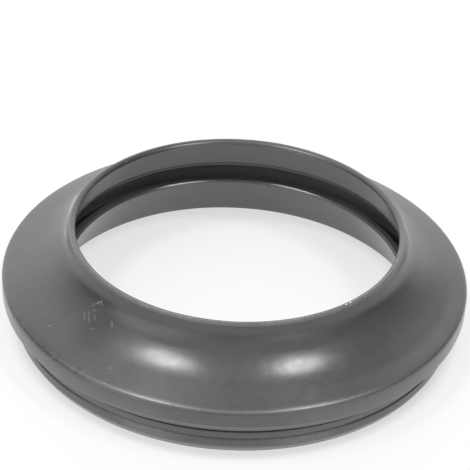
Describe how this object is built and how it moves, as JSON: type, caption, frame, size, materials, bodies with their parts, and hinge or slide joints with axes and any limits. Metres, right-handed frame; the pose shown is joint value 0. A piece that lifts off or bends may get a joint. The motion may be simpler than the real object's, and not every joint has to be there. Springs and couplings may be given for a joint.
{
  "type": "fork dust cap",
  "caption": "Moulded rubber ring with a thin flared wiper lip, a flange and a push-in plug, which closes the gap between a fork tube and its slider.",
  "frame": {"origin": "centre of the ring in the plane of the plug's lower face", "axes": "+Z along the fork's axis, from the plug towards the wiper lip; +X and +Y are any two square radii, as the ring is round"},
  "size_m": [0.058, 0.058, 0.0134],
  "materials": {
    "rubber": "satin moulded black rubber, lightly dusty"
  },
  "bodies": {
    "root": {"dust_cap": "rubber"}
  },
  "joints": []
}
